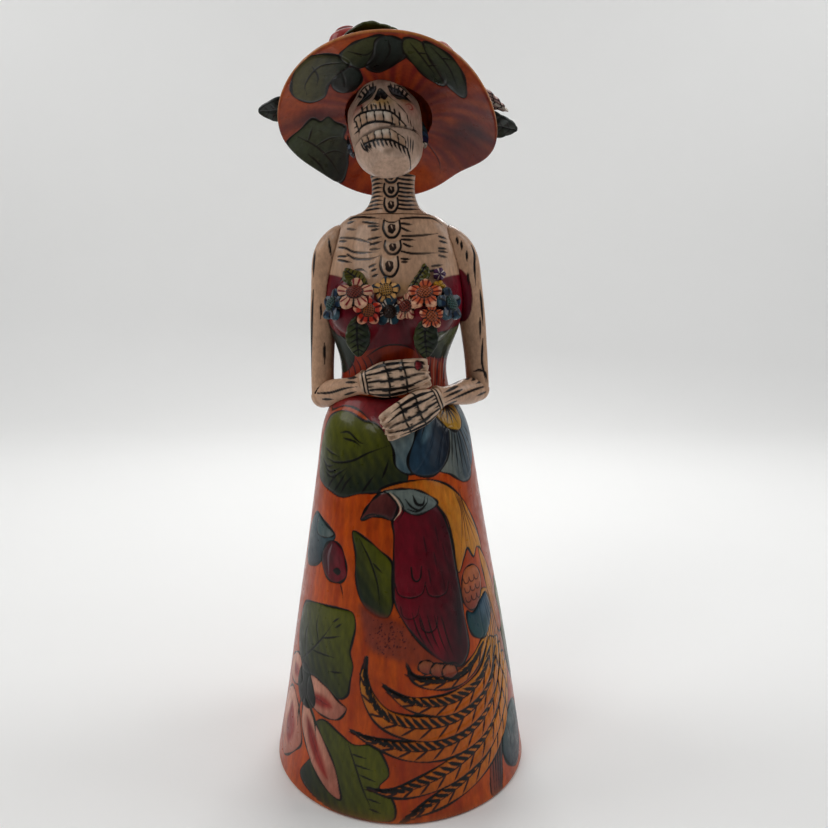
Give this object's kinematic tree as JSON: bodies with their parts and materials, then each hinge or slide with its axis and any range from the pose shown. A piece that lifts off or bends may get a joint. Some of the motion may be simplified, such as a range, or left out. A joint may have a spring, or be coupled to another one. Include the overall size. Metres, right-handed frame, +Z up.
{
  "type": "papier-mache catrina figure",
  "caption": "Standing skeleton lady in lacquered papier-mache: bell skirt, folded hands, skull thrown back under a wide flower-trimmed hat.",
  "frame": {"origin": "centre of the foot, on the surface that the figure stands on", "axes": "+Z up through the hat, the figure faces -Y, its own left side is at +X"},
  "size_m": [0.1804, 0.1776, 0.4847],
  "materials": {
    "board": "raw",
    "post": "raw",
    "steel": "satin",
    "wire": "dull",
    "disc": "raw",
    "skirt_paint": "lacquered",
    "bodice_paint": "lacquered",
    "bone_paint": "lacquered",
    "hat_paint": "lacquered",
    "band_paint": "lacquered",
    "rose_paint": "lacquered",
    "leaf_paint": "lacquered",
    "feather_paint": "lacquered",
    "earring_paint": "lacquered",
    "orange_petals": "lacquered",
    "red_petals": "lacquered",
    "blue_petals": "lacquered",
    "cream_petals": "lacquered",
    "brown_petals": "lacquered",
    "bud_paint": "lacquered"
  },
  "bodies": {
    "root": {"arm_wire_left": "wire", "arm_wire_right": "wire", "base_board": "board", "base_screw": "steel", "bodice_shell": "bodice_paint", "bust_bud_purple": "bud_paint", "bust_bud_yellow": "bud_paint", "bust_flower_blue_1": "blue_petals", "bust_flower_blue_2": "blue_petals", "bust_flower_brown": "brown_petals", "bust_flower_cream": "cream_petals", "bust_flower_orange_1": "orange_petals", "bust_flower_orange_2": "orange_petals", "bust_flower_red_1": "red_petals", "bust_flower_red_2": "red_petals", "bust_flower_red_3": "red_petals", "bust_leaf_1": "leaf_paint", "bust_leaf_2": "leaf_paint", "bust_leaf_3": "leaf_paint", "bust_leaf_4": "leaf_paint", "centre_post": "post", "earring_left": "earring_paint", "earring_right": "earring_paint", "forearm_left": "bone_paint", "forearm_right": "bone_paint", "hand_left": "bone_paint", "hand_right": "bone_paint", "hat_band": "band_paint", "hat_brim": "hat_paint", "hat_crown": "hat_paint", "hat_feather_1": "feather_paint", "hat_feather_2": "feather_paint", "hat_leaf_1": "leaf_paint", "hat_leaf_2": "leaf_paint", "hat_leaf_3": "leaf_paint", "hat_leaf_4": "leaf_paint", "hat_leaf_5": "leaf_paint", "hat_leaf_6": "leaf_paint", "hat_leaf_7": "leaf_paint", "hat_rose_1": "rose_paint", "hat_rose_2": "rose_paint", "hat_rose_3": "rose_paint", "lower_jaw": "bone_paint", "neck": "bone_paint", "skirt_shell": "skirt_paint", "skull": "bone_paint", "upper_arm_left": "bone_paint", "upper_arm_right": "bone_paint", "waist_disc": "disc"}
  },
  "joints": []
}
